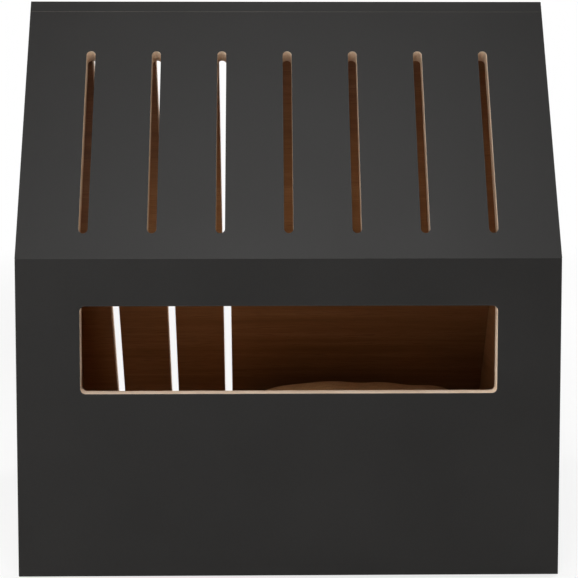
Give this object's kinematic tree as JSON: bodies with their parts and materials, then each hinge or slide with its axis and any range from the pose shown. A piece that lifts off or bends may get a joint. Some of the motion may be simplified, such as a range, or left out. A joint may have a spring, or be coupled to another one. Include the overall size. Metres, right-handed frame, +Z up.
{
  "type": "wooden cat house",
  "caption": "Wooden cat house with an upright windowed front, a slotted leaning roof, a leaning back board, gable sides with an arched doorway, a floor and a loose cushion.",
  "frame": {"origin": "on the ground, under the middle of the house's box", "axes": "+X to the right as seen from the front, +Y from the front board to the back, +Z up"},
  "size_m": [0.5, 0.53, 0.538],
  "materials": {
    "painted_board": "matt charcoal paint outside, brown wood veneer inside, pale bare cut edges in the openings",
    "veneered_floor_board": "satin brown wood veneer",
    "plywood_tongue": "bare plywood",
    "beech_dowel": "bare beech",
    "steel_bolt": "bright zinc plate",
    "zinc_cam": "dull die cast zinc",
    "brown_cap": "matt moulded plastic",
    "felt": "pressed felt",
    "cushion_cloth": "soft tan woven cloth"
  },
  "bodies": {
    "house": {"front_panel": "painted_board", "roof_panel": "painted_board", "back_panel": "painted_board", "left_side_panel": "painted_board", "right_side_panel": "painted_board", "floor_panel": "veneered_floor_board", "eave_tongue": "plywood_tongue", "ridge_tongue": "plywood_tongue", "felt_pads": "felt", "front_dowels": "beech_dowel", "roof_dowels": "beech_dowel", "back_dowels": "beech_dowel", "floor_dowels": "beech_dowel", "front_cam_bolts": "steel_bolt", "roof_cam_bolts": "steel_bolt", "back_cam_bolts": "steel_bolt", "floor_cam_bolts": "steel_bolt", "front_cam_locks": "zinc_cam", "roof_cam_locks": "zinc_cam", "back_cam_locks": "zinc_cam", "floor_cam_locks": "zinc_cam", "front_cam_caps": "brown_cap", "roof_cam_caps": "brown_cap", "back_cam_caps": "brown_cap"},
    "loose_cushion": {"cushion": "cushion_cloth"}
  },
  "joints": [
    {"name": "cushion_slide", "type": "slide", "parent": "house", "child": "loose_cushion", "axis": [-1, 0, 0], "range_m": [0, 0.15]}
  ]
}
